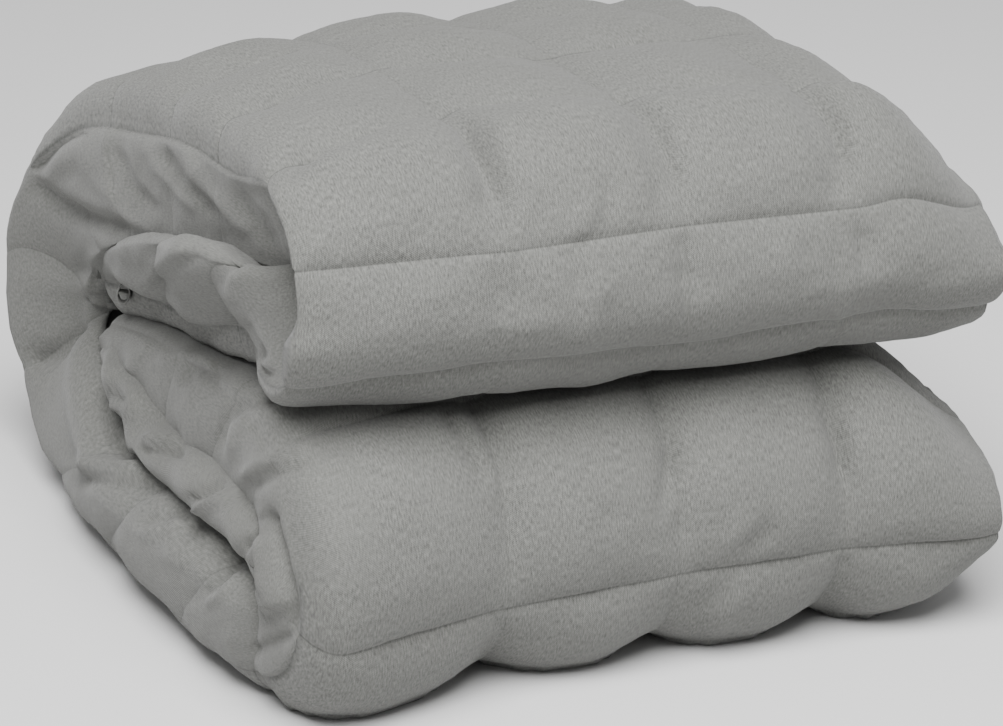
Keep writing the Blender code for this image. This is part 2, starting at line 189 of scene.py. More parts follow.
# ---- smooth helpers ------------------------------------------------------------------------------
def smoothstep(low, high, value):
    share = np.clip((np.asarray(value, float) - low) / (high - low), 0.0, 1.0)
    return share * share * (3 - 2 * share)


def between(stretch, value):
    """1 inside a stretch and 0 outside it, soft at both ends."""
    return smoothstep(stretch[0], stretch[1], value) * (1 - smoothstep(stretch[2], stretch[3], value))


def waves(places, pitch, seed):
    """Smooth seeded unevenness between about -1 and 1, with the given pitch."""
    rng = np.random.default_rng(seed)
    total = np.zeros(places.shape[:-1])
    count = 14
    for _ in range(count):
        way = rng.normal(size=places.shape[-1])
        way *= rng.uniform(0.6, 1.5) / np.linalg.norm(way)
        total += np.sin(places @ way * 2 * math.pi / pitch + rng.uniform(0, 2 * math.pi))
    return total / math.sqrt(count)


# ---- the folded strip, seen from its end ---------------------------------------------------------
def roll_sections(roll):
    """Sections round the front of a roll, from its lower run to its upper one."""
    rows = []
    for step in range(1, ROLL_STEPS):
        angle = math.pi * step / ROLL_STEPS
        forward, down = math.sin(angle), math.cos(angle)
        rows.append(Section(roll.y - roll.radius * forward, roll.z - roll.radius * down, roll.half,
                            roll.end_y - roll.end_radius * forward,
                            roll.end_z - roll.end_radius * down, roll.end_half, *roll[8:]))
    return rows


class FoldedStrip:
    """The strip's sections, read at any distance along its outer face."""

    def __init__(self):
        rows = UPPER_RETURN + roll_sections(UPPER_ROLL) + UPPER_RUN + BACK + LOWER_RUN
        self.rows = np.array(rows + roll_sections(LOWER_ROLL) + LOWER_RETURN)
        steps = np.hypot(np.diff(self.rows[:, 0]), np.diff(self.rows[:, 1]))
        self.knots = np.concatenate([[0.0], np.cumsum(steps)])
        self.bends = self.natural_spline()
        fine = np.linspace(0, self.knots[-1], 4000)
        centre, normal, half = self.frame(fine, 0.0)
        face = centre + normal * half[..., None]
        length = np.concatenate([[0.0], np.cumsum(np.hypot(*np.diff(face, axis=0).T))])
        first = np.argmin(np.hypot(*(face - FIRST_ROW).T))
        self.fine = fine
        self.face_length = length - length[first]

    def natural_spline(self):
        """Second derivatives of the natural cubic spline through the rows."""
        count = len(self.knots)
        gaps = np.diff(self.knots)
        system = np.eye(count)
        right_side = np.zeros_like(self.rows)
        slopes = np.diff(self.rows, axis=0) / gaps[:, None]
        for i in range(1, count - 1):
            system[i, i - 1:i + 2] = gaps[i - 1], 2 * (gaps[i - 1] + gaps[i]), gaps[i]
            right_side[i] = 6 * (slopes[i] - slopes[i - 1])
        return np.linalg.solve(system, right_side)

    def row(self, at):
        low = np.clip(np.searchsorted(self.knots, at) - 1, 0, len(self.knots) - 2)
        gap = (self.knots[low + 1] - self.knots[low])[..., None]
        a = (self.knots[low + 1] - at)[..., None] / gap
        b = 1 - a
        curve = ((a ** 3 - a) * self.bends[low] + (b ** 3 - b) * self.bends[low + 1]) * gap ** 2 / 6
        return a * self.rows[low] + b * self.rows[low + 1] + curve

    def parameter(self, distance):
        """Spline parameter at a distance from the first seam row, along the outer face."""
        return np.interp(distance, self.face_length, self.fine)

    def frame(self, at, end_share):
        """Centre, outward normal and half thickness; end_share is 0 in the middle, 1 at an end."""
        at = np.asarray(at, float)
        share = np.asarray(end_share, float)[..., None]
        row = self.row(at)
        run = self.row(at + 1e-3) - self.row(at - 1e-3)
        centre = row[..., 0:2] * (1 - share) + row[..., 3:5] * share
        run = run[..., 0:2] * (1 - share) + run[..., 3:5] * share
        run /= np.linalg.norm(run, axis=-1)[..., None]
        normal = np.stack([-run[..., 1], run[..., 0]], axis=-1)
        half = row[..., 2] * (1 - share[..., 0]) + row[..., 5] * share[..., 0]
        return centre, normal, half


# ---- the outline of the strip, across its width --------------------------------------------------
LEFT_TIP, RIGHT_TIP = -0.4, -0.3         # n of the two folds' tips on the nominal outline
LEFT_BEND, RIGHT_BEND = 1.80, 1.25       # |x| where the outer face starts to bend over
LEFT_CORNER = 2.6                        # how square the bend is at the left seam column
RIGHT_CORNER = 0.8                       # level of the right seam column, from 1 to -1 as for the left
RIGHT_INNER_BEND, HEM_BEND = 1.7, 1.85   # |x| where the inner side starts to bend up
INNER_END = 1.7                          # |x| where the flat inner side ends
SIDE_LEAN, SIDE_RUN = 0.95, 0.12         # how upright the left side is, and over how many squares
HANG_RUN = (1.88, 2.0)                   # |x| over which a fold that hangs does
HEM_REACH = 2.0                          # |x| of the hem on the nominal outline
SLIT_LEVEL, SLIT = -0.80, 0.02           # n of the gap between fold and hem, and half its width
SLIT_MOUTH, SLIT_DEPTH = 1.7, 1.6        # |x| where that gap is full, and where it ends inside
HEM_MIDDLE, HEM_HALF = -0.91, 0.085      # n of the hem's middle and half its thickness
HANG_LEAN = 0.3                          # how far a fold that hangs leans in, over how far it hangs
HEM_LIP, HEM_BAND = 0.03, 0.19           # half its thickness in squares, thin and filled
HEM_FILLS = (2.0, 2.3)                   # reach over which it turns from a thin lip into a filled band
HEM_LUMPS = (0.016, 0.009)               # height of its coarse and its fine lumps, in squares
HEM_CRUMPLE = 1.6                        # how much more the end of that band is crumpled
# Distance along the strip over which the band gets its lumps, crumples and curls up
LUMPS_RUN, CRUMPLE_RUN, CURL_RUN = (12.6, 13.2), (14.8, 15.5), (15.3, 16.3)
END_ROUNDING, END_LEFT = 0.08, 0.3       # rows over which the strip's ends round off, and what is left
HEM_CURL = 0.1                           # how far the crumpled end of that band curls up, in squares
HALF_SQUARES = 0.35                      # nominal half thickness, in squares, for lengths round a fold


def outer_level(x):
    """n of the outer face at x: 1 in the middle, less where it bends over into the folds."""
    if x < -LEFT_BEND:
        share = (-x - LEFT_BEND) / (LEFT_REACH - LEFT_BEND)
        return LEFT_TIP + (1 - LEFT_TIP) * (1 - share ** LEFT_CORNER) ** (1 / LEFT_CORNER)
    if x > RIGHT_BEND:
        share = (x - RIGHT_BEND) / (RIGHT_REACH - RIGHT_BEND)
        return RIGHT_TIP + (1 - RIGHT_TIP) * math.sqrt(1 - share * share)
    return 1.0


def arc(middle, reach, start, end, steps):
    """(x, n) round an ellipse from the start angle to the end angle, without those two places."""
    angles = np.radians(np.linspace(start, end, steps + 1)[1:-1])
    return [(middle[0] + reach[0] * math.sin(a), middle[1] + reach[1] * math.cos(a)) for a in angles]


class Outline:
    """Places round the strip, from its left seam column over the outer face and back below."""

    def __init__(self):
        self.places = []
        self.parts = []
        face = [column + share for column in range(-2, 2) for share in COLUMNS]
        face += [column + 1 - share for column in range(-2, 2) for share in COLUMNS]
        self.add("face", [(x, outer_level(x)) for x in sorted({round(x, 5) for x in face})])
        seam_share = (LAST_COLUMN - RIGHT_BEND) / (RIGHT_REACH - RIGHT_BEND)
        turn = (RIGHT_REACH - RIGHT_BEND, 1 - RIGHT_TIP)
        self.add("right", arc((RIGHT_BEND, RIGHT_TIP), turn, math.degrees(math.asin(seam_share)), 90, 8))
        self.add("right", [(RIGHT_REACH, RIGHT_TIP)])
        turn = (RIGHT_REACH - RIGHT_INNER_BEND, 1 + RIGHT_TIP)
        self.add("right", arc((RIGHT_INNER_BEND, RIGHT_TIP), turn, 90, 180, 10))
        self.add("inner", [(x, -1.0) for x in (INNER_END, 1.3, 0.8, 0.2, -0.4, -0.9, -1.3, -1.6)])
        self.add("hem", [(-HEM_BEND, HEM_MIDDLE - HEM_HALF)])
        self.add("hem", arc((-HEM_BEND, HEM_MIDDLE), (HEM_REACH - HEM_BEND, HEM_HALF), 180, 360, 30))
        self.add("hem", [(-HEM_BEND, HEM_MIDDLE + HEM_HALF)])
        for x, n in ((SLIT_MOUTH, -SLIT), (SLIT_DEPTH, 0.0), (SLIT_MOUTH, SLIT)):
            self.add("slit", [(-x, SLIT_LEVEL + n)])
        turn = (LEFT_REACH - HEM_BEND, LEFT_TIP - SLIT_LEVEL - SLIT)
        self.add("fold", arc((-HEM_BEND, LEFT_TIP), turn, 180, 270, 16))
        self.add("fold", [(-LEFT_REACH, LEFT_TIP)])
        steps = 20
        for step in range(1, steps):
            n = LEFT_TIP + (outer_level(-LAST_COLUMN) - LEFT_TIP) * step / steps
            share = (1 - ((n - LEFT_TIP) / (1 - LEFT_TIP)) ** LEFT_CORNER) ** (1 / LEFT_CORNER)
            self.add("fold", [(-LEFT_BEND - (LEFT_REACH - LEFT_BEND) * share, n)])
        self.x = np.array([x for x, n in self.places])
        self.n = np.array([n for x, n in self.places])
        self.part = np.array(self.parts)
        self.measure_folds()

    def add(self, part, places):
        self.places += places
        self.parts += [part] * len(places)

    def measure_folds(self):
        """Distance of each place past the last seam column, counted round the folds."""
        rise = np.diff(self.n, append=self.n[0]) * HALF_SQUARES
        run = np.hypot(np.diff(self.x, append=self.x[0]), rise)
        past_right = np.cumsum(run) - np.cumsum(run)[np.argmax(self.part == "right") - 1]
        past_left = np.cumsum(run[::-1])[::-1]
        self.past = np.where(self.part == "face", 0, past_left)
        self.past = np.where(self.part == "right", past_right, self.past)

    def laid_width(self):
        """How far across the cloth each place lies when the cloth is laid flat, in squares."""
        laid = np.where(self.part == "right", LAST_COLUMN + self.past, self.x)
        return np.where(self.part == "fold", -LAST_COLUMN - self.past, laid)

    def across(self):
        """Quilting coordinate across the strip: whole numbers at the seam columns."""
        square = np.where(self.part == "face", self.x, 0)
        square = np.where(self.part == "right", LAST_COLUMN + np.minimum(self.past, 0.5), square)
        return np.where(self.part == "fold", -LAST_COLUMN - np.minimum(self.past, 0.5), square)


def seam_distances(rows, outline):
    """Distance along the strip for each quilting row coordinate, at each place of the outline."""
    table = np.array(SEAM_ROWS)
    columns = []
    for x, part, past in zip(outline.x, outline.part, outline.past):
        if part == "face":
            at = x + LAST_COLUMN + 1
        elif part == "right":
            at = 2 * LAST_COLUMN + 1
        elif part == "inner":
            at = (x + INNER_END) / (2 * INNER_END) * (2 * LAST_COLUMN + 1)
        else:
            at = 1 - min(past / 0.5, 1.0)
        at = min(max(at, 0.0), 2 * LAST_COLUMN + 1)
        low = min(int(at), 2 * LAST_COLUMN)
        share = at - low
        if part == "face" and low == 2 * LAST_COLUMN:
            share = share ** 2
        distance = table[:, 1 + low] * (1 - share) + table[:, 2 + low] * share
        columns.append(np.interp(rows, table[:, 0], distance))
    return np.stack(columns, axis=1)


# ---- folds and dents, from the photograph --------------------------------------------------------
# on: the stretch of cloth that it lies on. rise: height in millimetres, less than 0 for a dent.
# width: half width in pixels. route: pixels along it.
Fold = namedtuple("Fold", "on rise width route")
Stretch = namedtuple("Stretch", "parts low high")
STRETCHES = {
    "upper": Stretch(("face", "right"), -2.0, 6.5),
    "lower": Stretch(("face", "right"), 11.0, 14.5),
    "upper edge": Stretch(("fold",), -0.9, 7.2),
    "upper end": Stretch(("fold",), -4.0, -0.4),
    "lower edge": Stretch(("fold",), 6.5, 12.2),
    "lower end": Stretch(("fold", "face"), 12.4, 16.0),
    "roll end": Stretch(("fold", "hem"), 11.6, 14.2),
    "hem": Stretch(("hem",), 12.4, 16.0),
}
FOLDS = [
    # the upper roll: soft troughs over the seam columns, and creases beside its first seam row
    Fold("upper", -4.1, 9, [(462, 118), (478, 150), (486, 180), (490, 215)]),
    Fold("upper", -2.7, 9, [(473, 190), (478, 215)]),
    Fold("upper", 2.2, 8, [(500, 120), (508, 160), (512, 200)]),
    Fold("upper", 2.0, 8, [(535, 195), (522, 215), (512, 238)]),
    Fold("upper", -1.6, 8, [(545, 185), (543, 210)]),
    Fold("upper", -3.0, 9, [(603, 185), (610, 205), (606, 222)]),
    Fold("upper", 2.4, 8, [(592, 205), (582, 225), (570, 238)]),
    Fold("upper", -3.0, 10, [(572, 245), (575, 265), (578, 290)]),
    Fold("upper", 2.2, 12, [(600, 275), (588, 305), (575, 340)]),
    Fold("upper", -3.8, 9, [(630, 118), (645, 145), (655, 175), (664, 210)]),
    Fold("upper", 2.2, 9, [(668, 120), (684, 160), (692, 200)]),
    Fold("upper", -2.7, 8, [(681, 232), (684, 270), (680, 320)]),
    Fold("upper", -3.8, 9, [(795, 88), (812, 130), (828, 165), (840, 200)]),
    Fold("upper", 2.2, 9, [(845, 110), (855, 150), (860, 190)]),
    Fold("upper", 1.9, 12, [(850, 240), (845, 275), (832, 320)]),
    Fold("upper", -2.2, 10, [(806, 235), (803, 262)]),
    Fold("upper", -1.9, 9, [(868, 230), (866, 255)]),
    Fold("upper", -1.9, 10, [(497, 265), (500, 300), (492, 350)]),
    Fold("upper", -1.4, 12, [(420, 215), (425, 245)]),
    # its left corner
    Fold("upper", 2.7, 10, [(300, 200), (310, 235), (315, 262)]),
    Fold("upper", -2.7, 9, [(292, 188), (300, 165), (318, 145)]),
    # the top: creases beside the seams
    Fold("upper", -1.6, 8, [(525, 45), (560, 60), (590, 74)]),
    Fold("upper", 1.4, 10, [(300, 100), (340, 80), (380, 78)]),
    Fold("upper", -2.0, 10, [(405, 47), (450, 42), (495, 41)]),
    # the long folds that hang in the left end of the upper run
    Fold("upper edge", 2.7, 5, [(108, 133), (106, 160), (110, 187), (120, 200)]),
    Fold("upper edge", 2.7, 6, [(84, 140), (91, 167), (103, 186), (122, 212), (150, 229)]),
    Fold("upper edge", -3.0, 6, [(116, 150), (133, 187), (160, 214)]),
    Fold("upper edge", 2.3, 7, [(143, 140), (157, 167), (187, 196), (205, 212)]),
    Fold("upper edge", -3.2, 7, [(160, 148), (183, 183), (213, 214)]),
    Fold("upper edge", 2.2, 7, [(187, 148), (197, 177), (230, 213), (253, 236)]),
    Fold("upper edge", -2.0, 5, [(191, 146), (201, 164)]),
    Fold("upper edge", -2.2, 7, [(238, 190), (255, 215), (275, 245)]),
    Fold("upper edge", 1.9, 6, [(262, 196), (278, 220), (291, 250)]),
    Fold("upper edge", -6.8, 9, [(84, 126), (66, 132), (48, 145), (32, 172)]),
    Fold("upper edge", 2.4, 9, [(74, 150), (58, 165), (45, 182)]),
    Fold("upper edge", -5.7, 8, [(30, 180), (60, 204), (82, 215), (130, 230)]),
    Fold("upper edge", 2.2, 9, [(55, 185), (85, 198), (115, 214)]),
    Fold("upper edge", 3.0, 14, [(15, 288), (55, 284), (92, 292)]),
    Fold("upper edge", -4.1, 8, [(74, 264), (90, 274), (100, 282)]),
    Fold("upper edge", -7.4, 12, [(22, 362), (60, 353), (90, 332)]),
    Fold("upper edge", 4.1, 13, [(30, 392), (62, 378), (88, 362)]),
    # the squares of the turned-in upper end
    Fold("upper end", -5.5, 4, [(108, 276), (123, 284), (143, 296), (160, 306), (200, 326), (230, 338)]),
    Fold("upper end", 2.5, 6, [(112, 266), (127, 275), (145, 286), (163, 297), (202, 315), (232, 327)]),
    Fold("upper end", 2.2, 8, [(150, 285), (156, 268), (190, 246)]),
    Fold("upper end", -2.2, 7, [(160, 290), (168, 272), (198, 252)]),
    Fold("upper end", 2.0, 8, [(225, 300), (232, 278), (256, 262)]),
    Fold("upper end", -2.0, 7, [(216, 296), (222, 272), (244, 254)]),
    Fold("upper end", 3.0, 5, [(238, 342), (260, 354), (284, 370)]),
    Fold("upper end", -3.6, 5, [(234, 352), (256, 364), (270, 378)]),
    Fold("upper end", 2.2, 6, [(262, 326), (281, 348), (285, 374)]),
    Fold("upper end", -2.2, 5, [(246, 318), (266, 342), (273, 366)]),
    Fold("upper end", -2.6, 6, [(250, 350), (254, 358)]),
    # the band of the lower run, and the turned-in lower end above it
    Fold("lower edge", 5.0, 8, [(80, 462), (115, 468), (150, 472)]),
    Fold("lower edge", -5.0, 11, [(96, 405), (110, 438), (138, 462)]),
    Fold("lower edge", -4.0, 7, [(78, 478), (115, 483), (152, 486)]),
    Fold("lower edge", -3.6, 6, [(142, 524), (168, 520), (192, 515)]),
    Fold("lower edge", -3.6, 6, [(202, 597), (222, 580), (242, 563)]),
    Fold("lower edge", 1.6, 9, [(165, 560), (190, 548), (215, 532)]),
    Fold("lower end", 3.4, 7, [(160, 362), (187, 357), (216, 364)]),
    Fold("lower end", -3.4, 7, [(186, 384), (192, 370), (220, 372)]),
    Fold("lower end", 2.4, 6, [(132, 374), (140, 358), (152, 343)]),
    Fold("lower end", -3.6, 6, [(218, 452), (224, 420), (240, 406), (263, 398), (296, 396)]),
    Fold("lower end", 2.6, 7, [(232, 455), (240, 428), (262, 412), (300, 406)]),
    Fold("lower end", 3.2, 6, [(243, 479), (262, 463), (313, 448)]),
    Fold("lower end", -3.0, 6, [(252, 490), (272, 474), (306, 462)]),
    Fold("lower end", -3.5, 8, [(266, 512), (273, 523)]),
    Fold("lower edge", 4.0, 7, [(84, 435), (80, 452), (82, 470)]),
    Fold("lower edge", -3.0, 7, [(70, 440), (72, 462)]),
    Fold("lower edge", 3.0, 6, [(140, 532), (166, 527), (188, 522)]),
    Fold("lower edge", 3.0, 6, [(206, 604), (226, 588), (246, 571)]),
    Fold("lower edge", -3.0, 6, [(250, 652), (272, 644), (292, 634)]),
    # the filled hem band between them
    Fold("hem", -5.0, 6, [(136, 449), (160, 449), (184, 452)]),
    Fold("hem", -5.0, 6, [(186, 502), (206, 492), (224, 484)]),
    Fold("hem", -5.0, 6, [(246, 549), (262, 539), (277, 531)]),
    Fold("hem", 4.0, 5, [(142, 440), (160, 438), (180, 441)]),
    Fold("hem", 4.0, 5, [(192, 511), (212, 501), (230, 493)]),
    Fold("hem", -4.0, 6, [(104, 392), (118, 398), (132, 414)]),
    Fold("hem", -4.0, 5, [(110, 416), (124, 420), (136, 418)]),
    Fold("hem", 3.0, 6, [(108, 404), (122, 408), (134, 408)]),
    Fold("roll end", -4.5, 4, [(270, 512), (280, 540), (287, 565), (294, 600), (294, 632)]),
    Fold("roll end", 8.0, 12, [(258, 535), (270, 575), (284, 612)]),
    # the lower roll
    Fold("lower", -3.4, 8, [(437, 412), (455, 428), (468, 450), (482, 480)]),
    Fold("lower", 2.2, 8, [(450, 410), (475, 432), (490, 462), (496, 500)]),
    Fold("lower", -3.8, 8, [(675, 445), (666, 475), (661, 515)]),
    Fold("lower", 2.0, 8, [(690, 440), (682, 480), (676, 520)]),
    Fold("lower", -2.2, 12, [(604, 505), (608, 530)]),
    Fold("lower", -3.8, 8, [(822, 412), (838, 440), (844, 478)]),
    Fold("lower", 2.2, 8, [(843, 412), (858, 445), (860, 480)]),
    Fold("lower", -3.0, 10, [(772, 522), (758, 536), (742, 548)]),
    Fold("lower", 1.9, 10, [(752, 510), (738, 528), (722, 545)]),
    Fold("lower", -2.2, 8, [(730, 575), (712, 592), (690, 610)]),
    Fold("lower", 2.2, 7, [(745, 578), (728, 596), (706, 616)]),
    Fold("lower", -2.2, 8, [(500, 612), (497, 635), (480, 655)]),
    Fold("lower", -2.0, 9, [(848, 556), (838, 580), (822, 604)]),
    Fold("lower", -1.6, 12, [(925, 548), (930, 560)]),
]


def distance_to_line(places, route):
    """Distance of each place to a line of points, and how far along the line it is, from 0 to 1."""
    near = np.full(places.shape[:-1], 1e9)
    run = np.zeros(places.shape[:-1])
    legs = np.linalg.norm(np.diff(route, axis=0), axis=1)
    passed = 0.0
    for start, end, leg in zip(route, route[1:], legs):
        way = (end - start) / leg
        share = np.clip((places - start) @ way, 0, leg)
        gap = np.linalg.norm(places - start - share[..., None] * way, axis=-1)
        closer = gap < near
        near = np.where(closer, gap, near)
        run = np.where(closer, (passed + share) / legs.sum(), run)
        passed += leg
    return near, run


# ---- the blanket's surface -----------------------------------------------------------------------
def row_stations():
    """Quilting row coordinates of the rings: close together at the seams."""
    rows = set()
    for row in range(-4, 16):
        shares = FINE if row in FINE_ROWS else COARSE if row in COARSE_ROWS else PLAIN
        rows |= {round(row + share, 5) for share in shares}
        rows |= {round(row + 1 - share, 5) for share in shares}
    return np.array(sorted(rows))


def pillow(fraction):
    """Rise of a quilted square from seam (0) to seam (1)."""
    return 1 - np.abs(2 * fraction - 1) ** 2.3


def soft_pillow(fraction):
    """The same where the filling hides the seam in a soft valley."""
    return np.sin(math.pi * fraction) ** 1.5


def groove(coordinate):
    """1 on a seam, falling off to its sides."""
    return np.exp(-((coordinate - np.round(coordinate)) / SEAM_WIDTH) ** 2)


def fold_strength(rows):
    """How much the squares puff out on the left fold: little where it is drawn into long folds."""
    return np.interp(rows, (-4, -1.0, -0.5, 5, 6, 8, 11, 12, 13, 14, 16),
                     (0.8, 0.8, 0.2, 0.15, 0.45, 0.6, 0.6, 0.15, 0.15, 0.35, 0.4))


def front_share(rows):
    """1 on the fronts of the rolls, where the cloth is drawn tight over its columns, 0 elsewhere."""
    return between(UPPER_FRONT, rows) + between(LOWER_FRONT, rows)


class BlanketSurface:
    """A grid of points: one ring for each row station, one column for each place of the outline."""

    def __init__(self):
        self.strip = FoldedStrip()
        self.outline = Outline()
        self.rows = row_stations()
        self.distance = seam_distances(self.rows, self.outline)
        self.base_points()
        self.find_normals()

    def base_points(self):
        outline, strip = self.outline, self.strip
        at = strip.parameter(self.distance)
        side = np.where(outline.x < 0, 1.0, RIGHT_SHARE)
        end_share = smoothstep(END_BEGINS, LAST_COLUMN, np.abs(outline.x)) * side
        end_share = np.broadcast_to(end_share, at.shape)
        centre, normal, half = strip.frame(at, end_share)
        left, right, tip, hem, seam, seam_level, sag, square = np.moveaxis(strip.row(at)[..., 6:], -1, 0)
        n = np.broadcast_to(outline.n, at.shape)
        x = np.broadcast_to(outline.x, at.shape)
        reach = -x
        corner = outer_level(-LAST_COLUMN)
        # the outer face, with its bend down to the left seam column
        bend = np.where(x < -LEFT_BEND, (n - corner) / (1 - corner), 1)
        level = np.where(outline.part == "face", seam_level + (1 - seam_level) * bend, n)
        # the right fold, with a squarer corner than the nominal one
        right_corner = outer_level(LAST_COLUMN)
        over = RIGHT_CORNER + (1 - RIGHT_CORNER) * (n - right_corner) / (1 - right_corner)
        level = np.where((outline.part == "face") & (x > RIGHT_BEND), over, level)
        down = RIGHT_TIP + (n - RIGHT_TIP) * (RIGHT_CORNER - RIGHT_TIP) / (right_corner - RIGHT_TIP)
        level = np.where((outline.part == "right") & (n > RIGHT_TIP), down, level)
        inward = np.maximum(x + LAST_COLUMN, 0)
        fading = np.exp(-inward / (SIDE_RUN * np.maximum(square, 1)))
        inward = inward * (1 - SIDE_LEAN * np.clip(square, 0, 1) * fading)
        drawn = np.where(x < -1, -seam + inward * (seam - 1), x)
        drawn = np.where(x > 1, 1 + (x - 1) * (right - 1) / (RIGHT_REACH - 1), drawn)
        # the left fold: from the seam column to its tip, and on to the slit beside the hem
        share = (n - LEFT_TIP) / (corner - LEFT_TIP)
        above = tip + share * (seam_level - tip)
        below = SLIT_LEVEL + (n - SLIT_LEVEL) * (tip - SLIT_LEVEL) / (LEFT_TIP - SLIT_LEVEL)
        hang = sag * smoothstep(*HANG_RUN, reach) * (1 - smoothstep(0.0, 1.0, share))
        fold_x = seam + (reach - LAST_COLUMN) / (LEFT_REACH - LAST_COLUMN) * (left - seam)
        under_x = HEM_BEND + (reach - HEM_BEND) / (LEFT_REACH - HEM_BEND) * (left - HEM_BEND)
        level = np.where(outline.part == "fold", np.where(share >= 0, above, below) - hang, level)
        lean = HANG_LEAN * (1 - square) * hang
        drawn = np.where(outline.part == "fold", lean - np.where(share >= 0, fold_x, under_x), drawn)
        ends = np.minimum(self.rows - self.rows[0], self.rows[-1] - self.rows)
        rounding = np.sqrt(1 - (1 - np.minimum(ends / END_ROUNDING, 1)) ** 2)
        rounding = np.maximum(rounding, END_LEFT)[:, None]
        # the hem: a thin lip, but a filled band where it reaches far out
        filled = smoothstep(*HEM_FILLS, hem)
        out = np.clip((reach - HEM_BEND) / (HEM_REACH - HEM_BEND), 0, 1)
        hem_x = HEM_BEND + out * (hem - HEM_BEND) * rounding
        band = np.sqrt(np.maximum(1 - out ** 4, 0)) * (0.3 + 0.7 * smoothstep(0.1, 0.75, out))
        thick = HEM_LIP * (1 - filled) * np.sqrt(1 - out ** 2) + HEM_BAND * filled * band
        hem_level = HEM_MIDDLE + np.sign(n - HEM_MIDDLE) * thick / np.maximum(half, 0.1)
        level = np.where(outline.part == "hem", hem_level, level)
        drawn = np.where(outline.part == "hem", -hem_x, drawn)
        level = level * rounding
        yz = centre + normal * (level * half)[..., None]
        points = np.concatenate([drawn[..., None], yz], axis=-1)
        points[..., 2] *= 1 - RIGHT_DROP * smoothstep(*DROP_RUN, x)
        # the right ends of the two rolls are thinner, and stand apart
        above = (self.rows < FURTHEST_BACK)[:, None]
        level = np.where(above, UPPER_MIDDLE, LOWER_MIDDLE)
        thinner = np.where(above, UPPER_THINNING, LOWER_THINNING) * smoothstep(*DROP_RUN, x)
        thinner *= 1 - smoothstep(*THINNING_FADES, points[..., 1])
        points[..., 2] += (level - points[..., 2]) * thinner
        # the filled hem band is uneven, most of all at its crumpled end, which curls up
        loose = np.where(outline.part == "hem", filled * out, 0.0)
        loose = loose * smoothstep(*LUMPS_RUN, self.distance)
        along = np.stack([self.distance, points[..., 0], points[..., 2]], axis=-1)
        crumple = 1 + HEM_CRUMPLE * smoothstep(*CRUMPLE_RUN, self.distance)
        lumps = HEM_LUMPS[0] * waves(along, 0.7, 21) + HEM_LUMPS[1] * waves(along, 0.3, 22)
        points[..., 2] += loose * crumple * lumps
        points[..., 0] += loose * crumple * HEM_LUMPS[0] * waves(along, 0.6, 23)
        points[..., 2] += loose * HEM_CURL * smoothstep(*CURL_RUN, self.distance)
        self.points = (points - MIDDLE) * SQUARE

    def find_normals(self):
        along = np.gradient(self.points, axis=0)
        round_strip = np.roll(self.points, -1, axis=1) - np.roll(self.points, 1, axis=1)
        normal = np.cross(round_strip, along)
        self.normals = normal / np.maximum(np.linalg.norm(normal, axis=-1), 1e-12)[..., None]

    def quilt(self):
        """Puffs between the seams, and the grooves that the stitches pull in, in squares."""
        outline = self.outline
        across = outline.across()
        rows = self.rows[:, None]
        past_upper, past_lower = (rows - row for row in FRONT_ROWS)
        crisp = np.maximum(np.exp(-(past_upper / CRISP_ROWS) ** 2),
                           np.exp(-(past_lower / CRISP_ROWS) ** 2))
        edge = np.abs(across) > LAST_COLUMN - 0.5
        over_rows = pillow(rows % 1.0)
        over_rows = over_rows + SOFT_ROWS * (1 - crisp) * (soft_pillow(rows % 1.0) - over_rows)
        over_columns = (1 - SOFT_COLUMNS) * pillow(across % 1.0)
        over_columns = over_columns + SOFT_COLUMNS * soft_pillow(across % 1.0)
        shallow = 1 - (1 - UNDER_VALLEY) * between(BENEATH_ROWS, rows)
        over_columns = 1 - (1 - over_columns) * shallow
        puffs = over_rows * np.where(outline.part == "fold", FOLD_PUFF, over_columns)
        puffs = puffs * np.where(outline.part == "right", 1 - smoothstep(*PUFF_ENDS, outline.past), 1)
        outer = np.isin(outline.part, ("face", "right", "fold"))
        open_rows = between(SHOWN_ROWS, rows) * (1 - between(RESTING_ROWS, rows))
        strength = np.where(outline.part == "fold", fold_strength(rows), open_rows + 0.0 * across)
        front = front_share(rows)
        # less at the corner columns, where a deep seam would fold the cloth over itself
        corner = between(CORNER_COLUMNS, np.abs(across))
        puffs = puffs - PUFF_BIAS * (1 - CORNER_LESS * corner) * (1 - front)
        columns = groove(across) * COLUMN_GROOVE * (1 - np.where(edge, 1.0, FRONT_GROOVE) * front)
        lines = np.maximum(groove(rows) * (ROW_GROOVE + (1 - ROW_GROOVE) * crisp), columns)
        under = np.any([(rows > low) & (rows < high) for low, high in UNDER_ROWS], axis=0)
        height = PUFF * np.where(under, UNDER_PUFF, 1 - FRONT_LESS * front)
        rise = height * puffs - SEAM_DEPTH * lines
        dent = np.exp(-((across - np.round(across)) / DENT_WIDTH) ** 2) * np.where(edge, 0.0, 1.0)
        upper, lower = between(DENT_ROWS, past_upper), between(DENT_ROWS, past_lower)
        rise = rise - dent * (UPPER_DENT * upper + LOWER_DENT * lower)
        return np.where(outer, rise * strength, 0.0)

    def shown_at(self):
        """Pixel of the photograph at which each point shows, and how squarely it faces the camera."""
        pitch = Matrix.Rotation(math.pi / 2 + CAMERA_PITCH, 3, "X")
        turned = Matrix.Rotation(CAMERA_YAW, 3, "Z") @ pitch
        right, up, back = np.array(turned).T
        seen = self.points - CAMERA_PLACE
        depth = -(seen @ back)
        across = PHOTO_WIDTH / 2 + PIXELS_PER_RADIAN * (seen @ right) / depth
        down = PHOTO_HEIGHT / 2 - PIXELS_PER_RADIAN * (seen @ up) / depth
        facing = -np.sum(self.normals * seen, axis=-1) / np.linalg.norm(seen, axis=-1)
        return np.stack([across, down], axis=-1), facing

